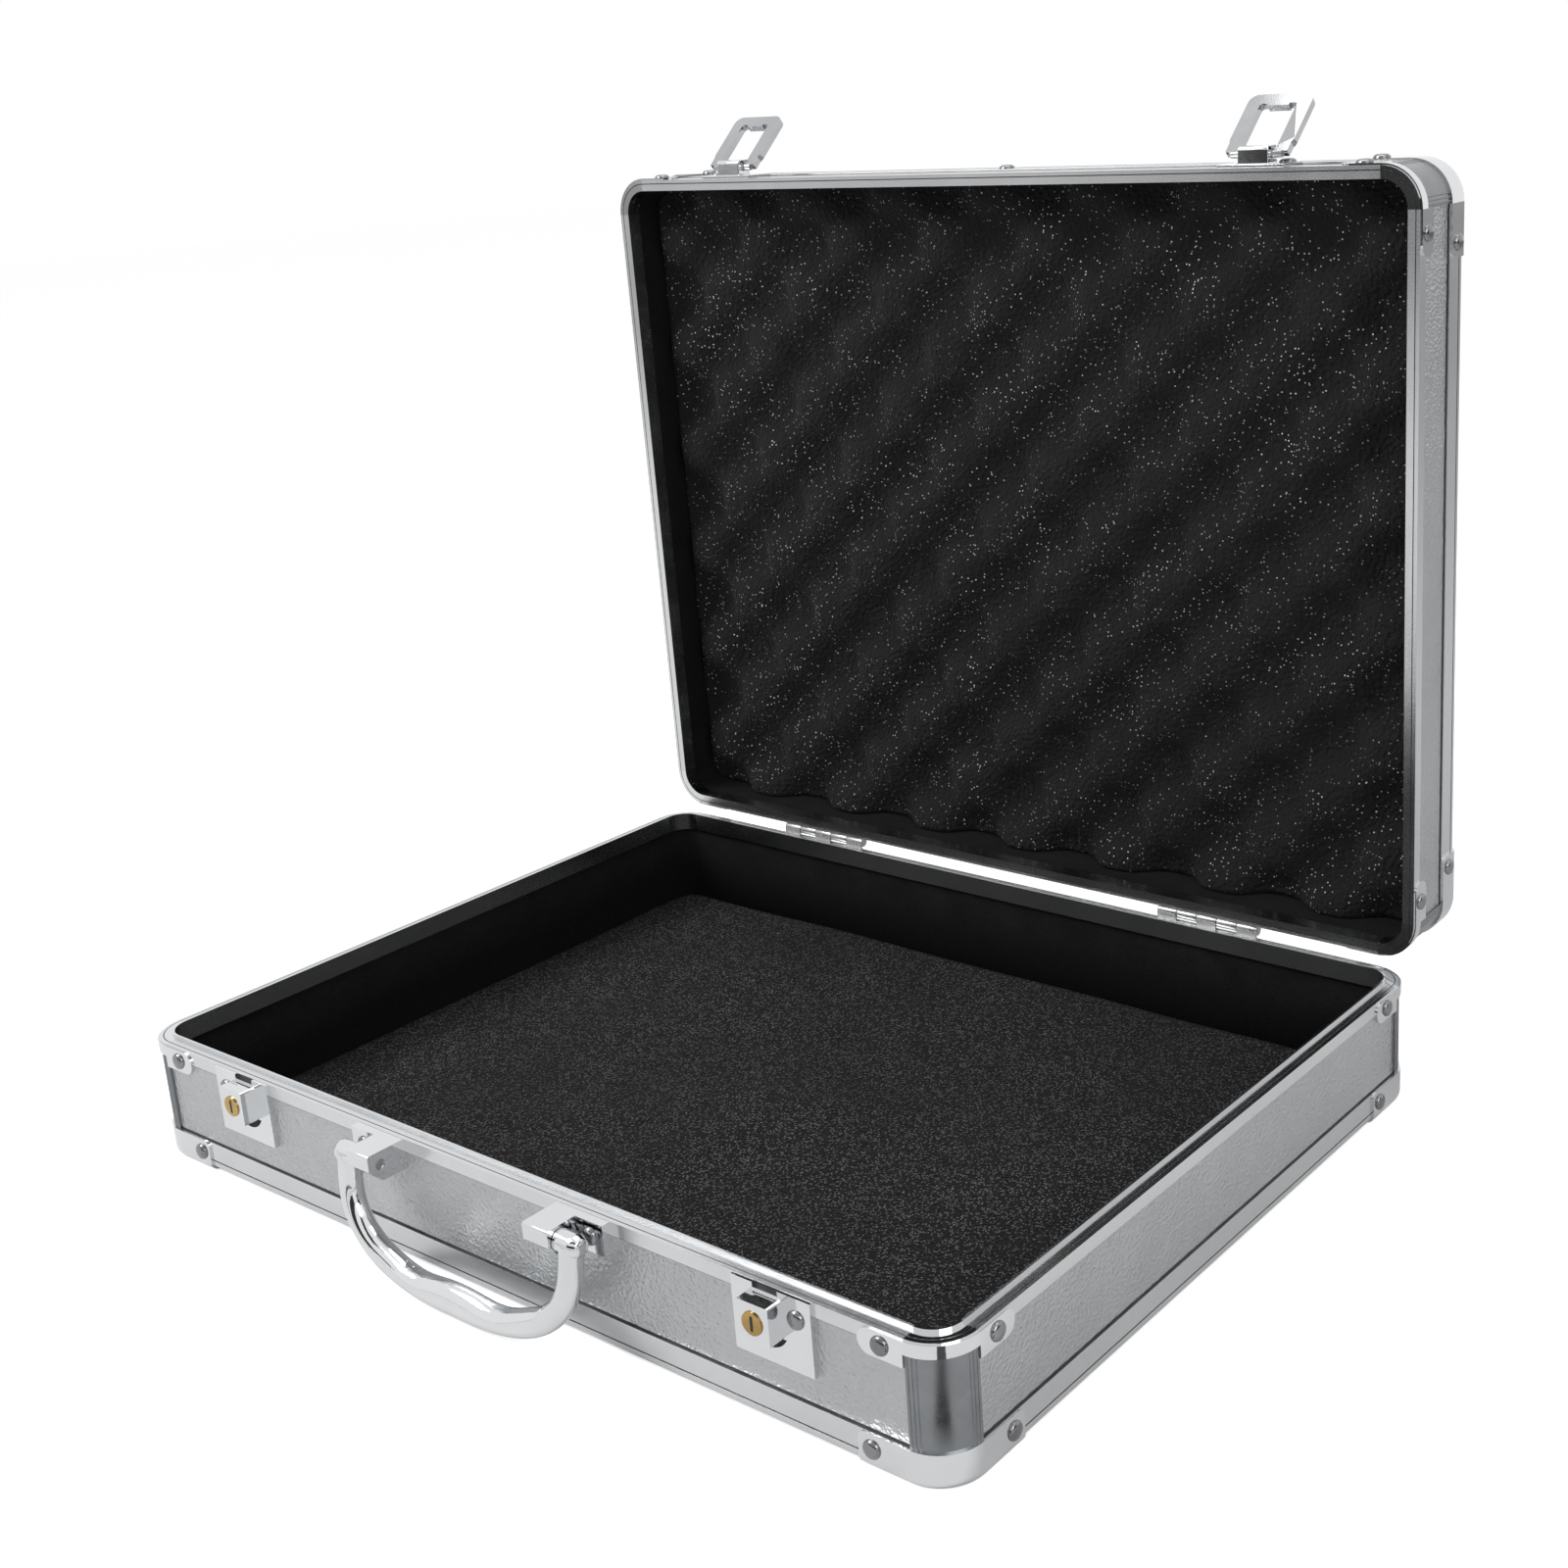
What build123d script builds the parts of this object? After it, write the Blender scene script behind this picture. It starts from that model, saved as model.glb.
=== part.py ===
from build123d import *
import math
import os

os.makedirs("parts", exist_ok=True)

# Overall sizes, in millimetres. X runs along the front, Y towards the hinges and Z up. The case
# stands open, as in use. It is laid out about the middle of the base's underside, and written
# with its origin in the middle of the open case's footprint.
case_width = 400.0
case_depth = 304.0
base_height = 50.0
lid_height = 38.0
corner_radius = 15.5
seam_gap = 0.4
lid_open_angle = 89.3

# Sheets and extrusions of the shell
skin_step = 0.8
panel_thickness = 3.0
cap_gauge = 0.8
edge_leg = 12.8
edge_round = 2.5
base_rim_width = 6.0
lid_rim_width = 4.8
rim_leg = 5.0
rim_band = 1.2
rim_lip = 0.9
rim_lip_drop = 7.0
tongue_height = 1.2
post_gauge = 1.2
rib_radius = 0.35
rib_pitch = 1.5
joint_gap = 0.1

# Chrome corners and rivets
cap_leg = 19.5
cap_end_round = 3.0
tab_length = 17.0
tab_height = 9.0
tab_gauge = 0.7
tab_drop = 0.6
plate_drop = 0.2
tab_rivet_from_end = 8.5
rivet_radius = 3.3
rivet_height = 1.4
rivet_crown_share = 0.6
cap_rivet_from_end = 5.3
cap_rivet_height = 7.4

# Linings and foam
liner_gauge = 1.2
floor_pad_thickness = 4.0
pad_clearance = 0.3
foam_slab = 9.0
foam_bump = 11.0
foam_pitch = 27.0
foam_valley = 0.8
foam_edge = 3.0
foam_bump_slope = 38.0

# Rear hinges
hinge_length = 48.0
hinge_place = 106.0
hinge_axis_out = 2.35
knuckle_radius = 2.2
knuckle_count = 5
knuckle_gap = 0.3
hinge_pin_radius = 1.1
running_gap = 0.05
leaf_gauge = 1.0
leaf_height = 15.0
leaf_rivet_drop = 11.0

# Locks on the base
lock_place = 132.0
lock_plate_width = 32.0
lock_plate_height = 26.0
lock_plate_gauge = 1.2
lock_plate_shift = 2.0
lock_box_width = 13.2
lock_box_height = 13.6
lock_box_out = 7.5
lock_box_drop = 2.6
lock_box_wall = 0.9
lock_face = 3.0
key_radius = 4.0
key_proud = 0.5
keyway_width = 1.2
keyway_length = 5.0
keyway_depth = 2.0
cam_thickness = 1.4
cam_rear = 0.6
cam_reach = 5.2
moon_radius = 8.6
moon_drop = 4.6
lock_rivet_out = 12.0
lock_rivet_drop = 7.6

# Hasp loops on the lid
hasp_axis_out = 4.5
hasp_axis_rise = 6.0
hasp_loop_width = 27.0
hasp_hole_width = 15.6
hasp_box_clearance = 0.5
hasp_far_bar = 4.7
hasp_thickness = 3.0
hasp_corner = 4.0
hasp_block_width = 12.8
hasp_block_out = 7.6
hasp_block_height = 7.5
hasp_plate_width = 28.5
hasp_plate_height = 14.5
hasp_plate_gauge = 1.2
hasp_lean = 138.0
catch_width = 9.0
catch_depth = 1.1

# Handle and its brackets
handle_axis_out = 10.5
handle_axis_drop = 5.2
handle_span = 57.0
handle_drop = 38.0
handle_lean = 7.0
handle_spans = 12
arm_radius = 4.3
grip_swell = 1.7
grip_thickness = 4.6
barrel_radius = 3.9
barrel_length = 10.5
handle_pin_radius = 2.0
bracket_inner = 39.5
bracket_lug_width = 12.0
bracket_outer = 64.0
bracket_height = 11.3
bracket_flange = 3.4
bracket_out = 15.5
bracket_rivet_place = 57.5

# Places worked out from the sizes above
hinge_y = case_depth / 2 + hinge_axis_out
hinge_z = base_height + hinge_axis_out
lid_rim_z = base_height + seam_gap
lid_top_z = lid_rim_z + lid_height
skin_out = cap_gauge + skin_step
floor_inside = skin_out + panel_thickness
wall_inside = skin_step + panel_thickness
hasp_axis_y = -case_depth / 2 - hasp_axis_out
hasp_axis_z = lid_rim_z + hasp_axis_rise
handle_axis_y = -case_depth / 2 - handle_axis_out
handle_axis_z = base_height - handle_axis_drop
lock_centre_z = base_height - lock_box_drop - lock_box_height / 2
lock_box_low = lock_centre_z - lock_box_height / 2
hasp_hole_end = lock_box_low - hasp_box_clearance - catch_depth
hasp_hole_length = hasp_axis_z - hasp_thickness / 2 - hasp_hole_end

side_turn = {"front": 0, "right": 90, "rear": 180, "left": 270}


sub_parts = {}


def save(name, *pieces):
    """Keep the solids of one sub-part, apart from each other, under its name."""
    sub_parts[name] = [solid for piece in pieces for solid in piece.solids()]


def write_all():
    """Centre the open case's footprint on the origin and write each sub-part to its file."""
    everything = Compound([solid for solids in sub_parts.values() for solid in solids])
    box = everything.bounding_box()
    to_middle = Pos(0, -(box.min.Y + box.max.Y) / 2, -box.min.Z)
    for name, solids in sub_parts.items():
        moved = [to_middle * solid for solid in solids]
        export_step(moved[0] if len(moved) == 1 else Compound(moved), f"parts/{name}.step")


def outline(points, rounds=()):
    """A flat outline; each (corner, radius) in rounds is filleted."""
    face = Polygon(*points, align=None)
    for (x, y), radius in rounds:
        nearest = face.vertices().sort_by_distance((x, y, 0))[0]
        face = fillet(nearest, radius)
    return face


def side_size(side):
    """Distance from the middle to one outer face, and the length of that face."""
    if side in ("front", "rear"):
        return case_depth / 2, case_width
    return case_width / 2, case_depth


def side_bar(section, side, start, end):
    """Extrude a section of (inward, up) along one side, from start to end past its middle."""
    out, _ = side_size(side)
    plane = Plane(origin=(start, -out, 0), x_dir=(0, 1, 0), z_dir=(1, 0, 0))
    bar = extrude(plane * section, amount=end - start, dir=plane.z_dir)
    return Rot(0, 0, side_turn[side]) * bar


def straight_bar(section, side):
    """A bar of the section between the two rounded corners of a side."""
    half = side_size(side)[1] / 2 - corner_radius
    return side_bar(section, side, -half, half)


def corner_turn(section):
    """Turn a section of (inward, up) round the front right corner."""
    centre = (case_width / 2 - corner_radius, -case_depth / 2 + corner_radius, 0)
    plane = Plane(origin=(centre[0], -case_depth / 2, 0), x_dir=(0, 1, 0), z_dir=(1, 0, 0))
    return revolve(plane * section, axis=Axis(centre, (0, 0, 1)), revolution_arc=90)


def four_corners(piece):
    """The front right piece, repeated at the other three corners."""
    right = [piece, mirror(piece, about=Plane.XZ)]
    return right + [mirror(copy, about=Plane.YZ) for copy in right]


def front_pair(piece):
    """A piece on the right half, and its mirror image on the left half."""
    return {"right": piece, "left": mirror(piece, about=Plane.YZ)}


def rivet_head():
    """A low tapered head standing on the XY plane."""
    crown = rivet_radius * rivet_crown_share
    profile = Polygon(
        (0, 0), (rivet_radius, 0), (crown, rivet_height), (0, rivet_height),
        align=None,
    )
    return revolve(Plane.XZ * profile, axis=Axis.Z)


def rivet_on_side(side, along, z, out):
    """A rivet head on a side face, its seat at the given distance outside the shell."""
    distance, _ = side_size(side)
    facing = Plane(origin=(along, -distance - out, z), x_dir=(1, 0, 0), z_dir=(0, -1, 0))
    return Rot(0, 0, side_turn[side]) * (facing * rivet_head())


def stepped_plate(z_low, z_high, height, gauge):
    """Section of a plate on the wall, seated on the rim leg and on the recessed skin."""
    leg_end = height - rim_leg
    step = leg_end - joint_gap
    return [
        (-gauge, z_low), (skin_step, z_low), (skin_step, step), (0, step), (0, z_high), (-gauge, z_high),
    ]


def edge_section():
    """Corner extrusion of the closed end: two legs, a core that seats the panels, a fine groove."""
    groove = cap_gauge + 4.0
    return outline(
        [
            (0, cap_gauge), (edge_leg, cap_gauge), (edge_leg, skin_out), (wall_inside, skin_out),
            (wall_inside, floor_inside), (skin_step, floor_inside), (skin_step, edge_leg), (0, edge_leg),
            (0, groove + 0.3), (0.35, groove), (0, groove - 0.3),
        ],
        [((0, cap_gauge), edge_round)],
    )


def rim_section(height, width, tongue):
    """Rim extrusion: outer leg, flat band with a fine groove, inner lip and its raised tongue."""
    lip = width - rim_lip
    groove = skin_step + 0.9
    top = height + tongue
    points = [
        (0, height - rim_leg), (skin_step, height - rim_leg), (skin_step, height - rim_band),
        (lip, height - rim_band), (lip, height - rim_lip_drop), (width, height - rim_lip_drop), (width, top),
    ]
    if tongue:
        points += [(lip, top), (lip, height)]
    points += [(groove + 0.2, height), (groove, height - 0.3), (groove - 0.2, height), (0, height)]
    return outline(points)


def corner_post(height):
    """Quarter-round post with three fine ribs along each of its edges."""
    top = height - rim_leg - joint_gap / 2
    foot = cap_gauge + edge_round
    wall = outline([(0, foot), (post_gauge, foot), (post_gauge, top), (0, top)])
    post = corner_turn(wall)
    centre = Pos(case_width / 2 - corner_radius, -case_depth / 2 + corner_radius)
    rib_length = top - edge_leg - joint_gap
    rib = Cylinder(rib_radius, rib_length, align=(Align.CENTER, Align.CENTER, Align.MIN))
    rib = Pos(corner_radius - 0.1, 0, edge_leg + joint_gap) * rib
    step = math.degrees(rib_pitch / corner_radius)
    angles = [-step * (place + 0.6) for place in range(3)]
    angles += [-90 + step * (place + 0.6) for place in range(3)]
    return post + [centre * (Rot(0, 0, angle) * rib) for angle in angles]


def corner_cap():
    """Stamped cap over the closed end's corner, with a leg along each edge extrusion."""
    section = outline(
        [
            (-cap_gauge, 0), (edge_leg, 0), (edge_leg, cap_gauge),
            (0, cap_gauge), (0, edge_leg), (-cap_gauge, edge_leg),
        ],
        [((-cap_gauge, 0), edge_round + cap_gauge), ((0, cap_gauge), edge_round)],
    )
    front_end = case_width / 2 - corner_radius
    right_end = case_depth / 2 - corner_radius
    front_leg = side_bar(section, "front", front_end - cap_leg, front_end)
    right_leg = side_bar(section, "right", -right_end, -right_end + cap_leg)
    cap = corner_turn(section) + front_leg + right_leg
    for axis, end in ((Axis.Y, front_end - cap_leg), (Axis.X, -right_end + cap_leg)):
        side = 0 if axis == Axis.Y else 1
        ends = [
            edge for edge in cap.edges().filter_by(axis)
            if edge.length < 2 * cap_gauge
            and abs((edge.center().X, edge.center().Y)[side] - end) < 0.01
            and edge.center().Z > edge_leg - 0.01
        ]
        cap = fillet(ends, cap_end_round)
    return cap


def rim_corner(height, width, tongue):
    """Corner insert that carries the rim round the corner, with a riveted tab on each side."""
    band = outline(
        [
            (-tab_gauge, height - rim_leg), (0, height - rim_leg),
            (0, height - tab_drop), (-tab_gauge, height - tab_drop),
        ]
    )
    insert = corner_turn(rim_section(height, width, tongue)) + corner_turn(band)
    tab_low = height - tab_drop - tab_height
    section = outline(stepped_plate(tab_low, height - tab_drop, height, tab_gauge))
    front_end = case_width / 2 - corner_radius
    right_end = case_depth / 2 - corner_radius
    tab_middle = (tab_low + height - tab_drop) / 2
    rounded = RectangleRounded(2 * tab_length, tab_height, tab_height / 2 - 0.05)
    front_face = Plane(origin=(front_end, -case_depth / 2, tab_middle), x_dir=(1, 0, 0), z_dir=(0, 1, 0))
    right_face = Plane(origin=(case_width / 2, -right_end, tab_middle), x_dir=(0, 1, 0), z_dir=(-1, 0, 0))
    front_tab = side_bar(section, "front", front_end - tab_length, front_end)
    right_tab = side_bar(section, "right", -right_end, -right_end + tab_length)
    front_tab &= extrude(front_face * rounded, amount=2, both=True)
    right_tab &= extrude(right_face * rounded, amount=2, both=True)
    return insert + front_tab + right_tab


def rounded_plate(inset, low, thickness):
    """A flat sheet inside the shell with corners that follow the shell's."""
    sheet = RectangleRounded(case_width - 2 * inset, case_depth - 2 * inset, corner_radius - inset)
    return Pos(0, 0, low) * extrude(sheet, amount=thickness)


def shell_rivets(height, with_face_rivet):
    """Rivets of one tray: two per corner insert and two or three per cap."""
    heads = []
    for side, length in (("front", case_width), ("right", case_depth)):
        end = length / 2 - corner_radius
        sign = 1 if side == "front" else -1
        tab_place = end - tab_length + tab_rivet_from_end
        cap_place = end - cap_leg + cap_rivet_from_end
        heads.append(rivet_on_side(side, sign * tab_place, height - tab_drop - tab_height / 2, tab_gauge))
        heads.append(rivet_on_side(side, sign * cap_place, cap_rivet_height, cap_gauge))
    if with_face_rivet:
        inset = corner_radius * 0.62
        place = Pos(case_width / 2 - inset, -case_depth / 2 + inset) * Rot(180, 0, 0)
        heads.append(place * rivet_head())
    return [copy for head in heads for copy in four_corners(head)]


def tray(height, rim_width, tongue, face_rivets):
    """One half of the case, closed end down: names without their prefix, and their solids."""
    wall_low = floor_inside
    wall_high = height - rim_band
    wall = outline(
        [(skin_step, wall_low), (wall_inside, wall_low), (wall_inside, wall_high), (skin_step, wall_high)]
    )
    liner_in = wall_inside + liner_gauge
    lining_high = height - rim_lip_drop
    lining = outline(
        [(wall_inside, wall_low), (liner_in, wall_low), (liner_in, lining_high), (wall_inside, lining_high)]
    )
    edge = edge_section()
    rim = rim_section(height, rim_width, tongue)
    pieces = {f"{side}_panel": [straight_bar(wall, side)] for side in side_turn}
    pieces["end_panel"] = [rounded_plate(wall_inside, skin_out, panel_thickness)]
    pieces["edge_extrusions"] = [straight_bar(edge, side) for side in side_turn]
    pieces["rim_extrusions"] = [straight_bar(rim, side) for side in side_turn]
    pieces["rim_corners"] = four_corners(rim_corner(height, rim_width, tongue))
    pieces["corner_posts"] = four_corners(corner_post(height))
    pieces["corner_caps"] = four_corners(corner_cap())
    pieces["corner_rivets"] = shell_rivets(height, face_rivets)
    pieces["felt_lining"] = [straight_bar(lining, side) for side in side_turn]
    pieces["felt_lining"] += four_corners(corner_turn(lining))
    return pieces


def close_lid(piece):
    """Turn a lid piece, made with its closed end down, to its place on the closed case."""
    return Pos(0, 0, lid_top_z) * mirror(piece, about=Plane.XY)


def open_lid(piece):
    """Swing a piece of the closed lid back to where it stands open."""
    return piece.rotate(Axis((0, hinge_y, hinge_z), (1, 0, 0)), -lid_open_angle)


def save_lid(name, *closed_pieces):
    """Keep pieces placed on the closed lid, swung open."""
    save(name, *[open_lid(piece) for piece in closed_pieces])


def hinge_leaf(on_base):
    """One leaf of a hinge with its knuckles, on the closed case, about x = 0."""
    rim_z = base_height if on_base else lid_rim_z
    up = -1 if on_base else 1
    step = rim_z + up * rim_leg
    far = rim_z + up * leaf_height
    near = hinge_z
    wall_y = case_depth / 2
    inner = wall_y - skin_step
    rest = joint_gap
    plate_near = rim_z if on_base else hinge_z + knuckle_radius
    plate = Polygon(
        (wall_y, plate_near), (wall_y + leaf_gauge, plate_near),
        (wall_y + leaf_gauge, step + up * leaf_gauge),
        (inner + leaf_gauge, step + up * 2 * leaf_gauge), (inner + leaf_gauge, far), (inner, far),
        (inner, step + up * rest), (wall_y, step + up * rest),
        align=None,
    )
    tab = Polygon(
        (wall_y + rest, plate_near), (wall_y + leaf_gauge, plate_near),
        (wall_y + leaf_gauge, near), (wall_y + rest, near),
        align=None,
    )
    side = Plane(origin=(0, 0, 0), x_dir=(0, 1, 0), z_dir=(1, 0, 0))
    leaf = Pos(-hinge_length / 2) * extrude(side * plate, amount=hinge_length, dir=side.z_dir)
    pitch = hinge_length / knuckle_count
    knuckle_length = pitch - knuckle_gap
    ring = Pos(hinge_y, hinge_z) * Circle(knuckle_radius)
    bore = Pos(hinge_y, hinge_z) * Circle(hinge_pin_radius + (0 if on_base else running_gap))
    knuckle = ring + tab - bore
    first = 0 if on_base else 1
    for place in range(first, knuckle_count, 2):
        start = -hinge_length / 2 + place * pitch + knuckle_gap / 2
        leaf += Pos(start) * extrude(side * knuckle, amount=knuckle_length, dir=side.z_dir)
    return leaf


def hinges():
    """Two rear hinges: base leaf, lid leaf, pin and the rivets of both leaves."""
    axis = Plane(origin=(-hinge_length / 2, hinge_y, hinge_z), x_dir=(0, 1, 0), z_dir=(1, 0, 0))
    pin = extrude(axis * Circle(hinge_pin_radius), amount=hinge_length)
    rivet_out = leaf_gauge - skin_step
    base_rivets = []
    lid_rivets = []
    for name, place in (("left", -hinge_place), ("right", hinge_place)):
        save(f"{name}_hinge_base_leaf", Pos(place) * hinge_leaf(True))
        save_lid(f"{name}_hinge_lid_leaf", Pos(place) * hinge_leaf(False))
        save(f"{name}_hinge_pin", Pos(place) * pin)
        for shift in (-hinge_length / 3, 0, hinge_length / 3):
            along = -(place + shift)
            base_rivets.append(rivet_on_side("rear", along, base_height - leaf_rivet_drop, rivet_out))
            lid_rivets.append(rivet_on_side("rear", along, lid_rim_z + leaf_rivet_drop, rivet_out))
    save("hinge_base_rivets", *base_rivets)
    save_lid("hinge_lid_rivets", *lid_rivets)


def lock_body():
    """Lock plate with its raised box, lanced recesses and bore for the key cylinder."""
    plate_low = base_height - lock_plate_height
    section = outline(stepped_plate(plate_low, base_height - plate_drop, base_height, lock_plate_gauge))
    half = lock_plate_width / 2
    middle = lock_place + lock_plate_shift
    plate = side_bar(section, "front", middle - half, middle + half)
    face = Plane(origin=(lock_place, -case_depth / 2, lock_centre_z), x_dir=(1, 0, 0), z_dir=(0, -1, 0))
    box_sketch = RectangleRounded(lock_box_width, lock_box_height, 0.8)
    body = plate + extrude(face * box_sketch, amount=lock_box_out)
    room = Rectangle(lock_box_width - 2 * lock_box_wall, lock_box_height - 2 * lock_box_wall)
    back = face.offset(-skin_step)
    body -= extrude(back * room, amount=lock_box_out - lock_face + skin_step)
    body -= extrude(face * Circle(key_radius + running_gap), amount=lock_box_out)
    moon_centre = lock_box_low + moon_radius - moon_drop
    moon_face = Plane(origin=(lock_place, -case_depth / 2, moon_centre), x_dir=(1, 0, 0), z_dir=(0, -1, 0))
    moon = Circle(moon_radius) & Pos(0, -moon_radius + moon_drop / 2) * Rectangle(3 * moon_radius, moon_drop)
    body -= extrude(moon_face.offset(-skin_step - 1) * moon, amount=lock_plate_gauge + skin_step + 2)
    slot_face = Plane(
        origin=(lock_place, -case_depth / 2, base_height - plate_drop), x_dir=(1, 0, 0), z_dir=(0, -1, 0)
    )
    slot = Rectangle(lock_box_width - 3, 2 * (lock_box_drop - 0.9))
    body -= extrude(slot_face * slot, amount=lock_plate_gauge + 1)
    return body


def key_cylinder():
    """Brass cylinder with its keyway, and the cam that it turns."""
    back = cam_rear + cam_thickness
    face = Plane(origin=(lock_place, -case_depth / 2, lock_centre_z), x_dir=(1, 0, 0), z_dir=(0, -1, 0))
    barrel = extrude(face.offset(back) * Circle(key_radius), amount=lock_box_out + key_proud - back)
    keyway_start = face.offset(lock_box_out + key_proud - keyway_depth)
    keyway = extrude(keyway_start * Rectangle(keyway_width, keyway_length), amount=keyway_depth + 1)
    cam = Circle(key_radius) + Pos(0, -cam_reach / 2) * Rectangle(4, cam_reach)
    arm = extrude(face.offset(back - cam_thickness) * cam, amount=cam_thickness)
    return barrel - keyway, arm


def locks():
    """Two key locks on the base front."""
    cylinder, cam = key_cylinder()
    for name, body in front_pair(lock_body()).items():
        save(f"{name}_lock_plate", body)
    for name, piece in front_pair(cylinder).items():
        save(f"{name}_key_cylinder", piece)
    for name, piece in front_pair(cam).items():
        save(f"{name}_lock_cam", piece)
    z = base_height - lock_rivet_drop
    rivet = rivet_on_side("front", lock_place + lock_rivet_out, z, lock_plate_gauge)
    save("lock_rivets", *front_pair(rivet).values())


def hasp_loop():
    """Closed loop that drops over the lock box, hanging from its axis on the closed case."""
    plane = Plane(origin=(lock_place, hasp_axis_y, hasp_axis_z), x_dir=(1, 0, 0), z_dir=(0, -1, 0))
    pin_radius = hasp_thickness / 2
    length = pin_radius + hasp_hole_length + hasp_far_bar
    near = plane.offset(-pin_radius)
    low_middle = -(pin_radius * 1.6 + length) / 2
    body = Pos(0, low_middle) * RectangleRounded(hasp_loop_width, length - pin_radius * 1.6, hasp_corner)
    hole_middle = -pin_radius - hasp_hole_length / 2
    hole = Pos(0, hole_middle) * RectangleRounded(hasp_hole_width, hasp_hole_length, 1.2)
    catch = Pos(0, -pin_radius - hasp_hole_length + catch_depth / 2)
    lip = catch * Rectangle(catch_width, catch_depth)
    ring = extrude(near * (body - hole + lip), amount=hasp_thickness)
    half = hasp_hole_width / 2 + (hasp_loop_width - hasp_hole_width) / 4
    start = Plane(origin=(lock_place - half, hasp_axis_y, hasp_axis_z), x_dir=(0, 1, 0), z_dir=(1, 0, 0))
    near_bar = extrude(start * Circle(pin_radius), amount=2 * half)
    arm = Rectangle((hasp_loop_width - hasp_hole_width) / 2 - 1.2, pin_radius * 5)
    arms = [
        extrude(near * (Pos(sign * half, -pin_radius * 2.5) * arm), amount=hasp_thickness) for sign in (-1, 1)
    ]
    return ring + near_bar + arms


def hasp_mount():
    """Plate with the block that holds the loop, in the lid's own closed-end-down frame."""
    section = outline(
        stepped_plate(lid_height - hasp_plate_height, lid_height - plate_drop, lid_height, hasp_plate_gauge)
    )
    half = hasp_plate_width / 2
    plate = side_bar(section, "front", lock_place - half, lock_place + half)
    low = lid_height - hasp_axis_rise - hasp_block_height / 2
    high = low + hasp_block_height
    block_section = outline(
        [(-hasp_block_out, low), (0, low), (0, high), (-hasp_block_out, high)],
        [((-hasp_block_out, low), 1.5), ((-hasp_block_out, high), 1.5)],
    )
    block_half = hasp_block_width / 2
    block = side_bar(block_section, "front", lock_place - block_half, lock_place + block_half)
    centre = (lock_place, -case_depth / 2 - hasp_axis_out, lid_height - hasp_axis_rise)
    bore = Pos(*centre) * Rot(0, 90, 0) * Cylinder(hasp_thickness / 2 + running_gap, 2 * hasp_block_width)
    return plate + block - bore


def hasps():
    """Two hasps on the lid front; each loop leans back from its mount."""
    for name, mount in front_pair(hasp_mount()).items():
        save_lid(f"{name}_hasp_plate", close_lid(mount))
    axis = Axis((0, hasp_axis_y, hasp_axis_z), (1, 0, 0))
    for name, loop in front_pair(hasp_loop()).items():
        save_lid(f"{name}_hasp_loop", loop.rotate(axis, -hasp_lean))
    rivet_place = lock_place + hasp_plate_width / 2 - rivet_radius - 0.6
    rivet = rivet_on_side("front", rivet_place, lid_height - hasp_plate_height + 4.2, hasp_plate_gauge)
    save_lid("hasp_rivets", *[close_lid(piece) for piece in front_pair(rivet).values()])


def handle_point(turn):
    """A point of the bail's U, turn going from 0 at one end to pi at the other."""
    bend = 2 / 2.9
    cosine = math.cos(turn)
    sine = math.sin(turn)
    x = handle_span * math.copysign(abs(cosine) ** bend, cosine)
    y = -handle_drop * sine ** bend
    return x, y


def handle():
    """Die-cast bail: a U of elliptical sections that swells at the grip, with a barrel at each end."""
    stations = [math.pi * place / handle_spans for place in range(handle_spans + 1)]
    spots = [handle_point(min(turn, math.pi)) for turn in stations]
    plane = Plane(origin=(0, handle_axis_y, handle_axis_z), x_dir=(1, 0, 0), z_dir=(0, -1, 0))
    sections = []
    for place, (x, y) in enumerate(spots):
        before = spots[max(place - 1, 0)]
        after = spots[min(place + 1, len(spots) - 1)]
        direction = Vector(after[0] - before[0], after[1] - before[1])
        if place in (0, len(spots) - 1):
            direction = Vector(0, -1 if place == 0 else 1)
        direction = direction.normalized()
        swell = math.sin(stations[place]) ** 4
        local = Plane(origin=(x, y, 0), x_dir=(0, 0, 1), z_dir=(direction.X, direction.Y, 0))
        wide = arm_radius + (grip_thickness - arm_radius) * swell
        sections.append(local * Ellipse(wide, arm_radius + grip_swell * swell))
    bail = plane.location * loft(sections)
    barrel_profile = Polygon(
        (-barrel_length / 2, 0), (-barrel_length / 2, barrel_radius),
        (barrel_length / 2 - 2.2, barrel_radius),
        (barrel_length / 2 - 0.6, barrel_radius * 0.75), (barrel_length / 2, barrel_radius * 0.35),
        (barrel_length / 2, 0),
        align=None,
    )
    barrel = revolve(barrel_profile, axis=Axis.X)
    seat = Pos(handle_span, handle_axis_y, handle_axis_z)
    right_barrel = seat * barrel
    body = bail + right_barrel + mirror(right_barrel, about=Plane.YZ)
    pin_room = Pos(handle_span - barrel_length / 2 + 2.5, handle_axis_y, handle_axis_z)
    bore = pin_room * Rot(0, 90, 0) * Cylinder(handle_pin_radius + running_gap, 7)
    body -= [bore, mirror(bore, about=Plane.YZ)]
    return body.rotate(Axis((0, handle_axis_y, handle_axis_z), (1, 0, 0)), -handle_lean)


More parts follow.
